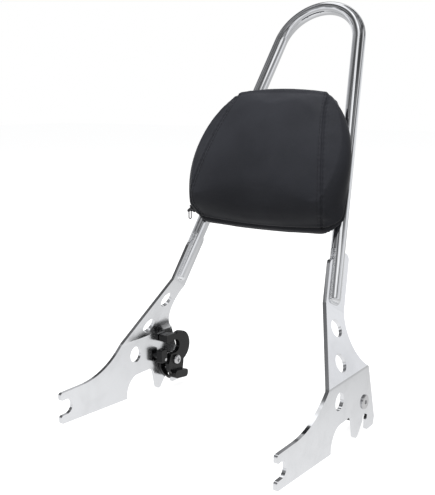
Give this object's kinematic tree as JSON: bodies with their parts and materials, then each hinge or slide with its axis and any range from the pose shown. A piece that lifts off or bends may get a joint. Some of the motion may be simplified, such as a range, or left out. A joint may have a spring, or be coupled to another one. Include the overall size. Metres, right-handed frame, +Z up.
{
  "type": "motorcycle sissy bar",
  "caption": "Quick-release motorcycle backrest: chromed tube hoop on folded side plates, with a zipped leather pad and a sprung latch at each rear docking slot.",
  "frame": {"origin": "on the axis of the front docking studs, midway between the two side plates", "axes": "+X to the rider's left along the stud axis, +Y to the rear of the motorcycle, +Z up"},
  "size_m": [0.276, 0.3543, 0.4738],
  "materials": {
    "chrome_frame": "polished chrome plate",
    "pad_leather": "black, satin",
    "pad_filling": "open-cell foam",
    "pad_board": "plywood",
    "zip_tape": "black moulded teeth",
    "zip_metal": "black",
    "bright_hardware": "zinc plate",
    "latch_black": "black, semi-gloss",
    "latch_bright": "bright zinc plate"
  },
  "bodies": {
    "frame": {"hoop_tube": "chrome_frame", "left_side_plate": "chrome_frame", "right_side_plate": "chrome_frame", "lower_pad_strap": "chrome_frame", "upper_pad_strap": "chrome_frame", "pad_cover": "pad_leather", "pad_foam": "pad_filling", "pad_backboard": "pad_board", "pad_zip": "zip_tape", "zip_slider": "zip_metal", "pad_tee_nuts": "bright_hardware", "pad_washers": "bright_hardware", "pad_screws": "bright_hardware", "left_latch_block": "latch_black", "left_latch_post": "latch_black", "right_latch_block": "latch_black", "right_latch_post": "latch_black", "left_latch_pivot_nut": "latch_bright", "left_latch_pivot_screw": "latch_bright", "left_latch_pin": "latch_bright", "left_latch_spring": "latch_bright", "right_latch_pivot_nut": "latch_bright", "right_latch_pivot_screw": "latch_bright", "right_latch_pin": "latch_bright", "right_latch_spring": "latch_bright"},
    "left_latch": {"left_latch_lever": "latch_black", "left_latch_claw": "latch_black"},
    "right_latch": {"right_latch_lever": "latch_black", "right_latch_claw": "latch_black"},
    "puller": {"zip_puller": "zip_metal"}
  },
  "joints": [
    {"name": "left_latch_pivot", "type": "hinge", "parent": "frame", "child": "left_latch", "pos_m": [0.125, 0.178, 0.0073], "axis": [-1, 0, 0], "range_deg": [0, 25], "stiffness_Nm_per_rad": 0.08, "springref_deg": -34.38, "deforming": ["left_latch_spring"]},
    {"name": "right_latch_pivot", "type": "hinge", "parent": "frame", "child": "right_latch", "pos_m": [-0.125, 0.178, 0.0073], "axis": [-1, 0, 0], "range_deg": [0, 25], "stiffness_Nm_per_rad": 0.08, "springref_deg": -34.38, "deforming": ["right_latch_spring"]},
    {"name": "puller_swing", "type": "hinge", "parent": "frame", "child": "puller", "pos_m": [-0.10085, 0.18544, 0.19628], "axis": [0, 1, 0], "range_deg": [-35, 120]}
  ]
}
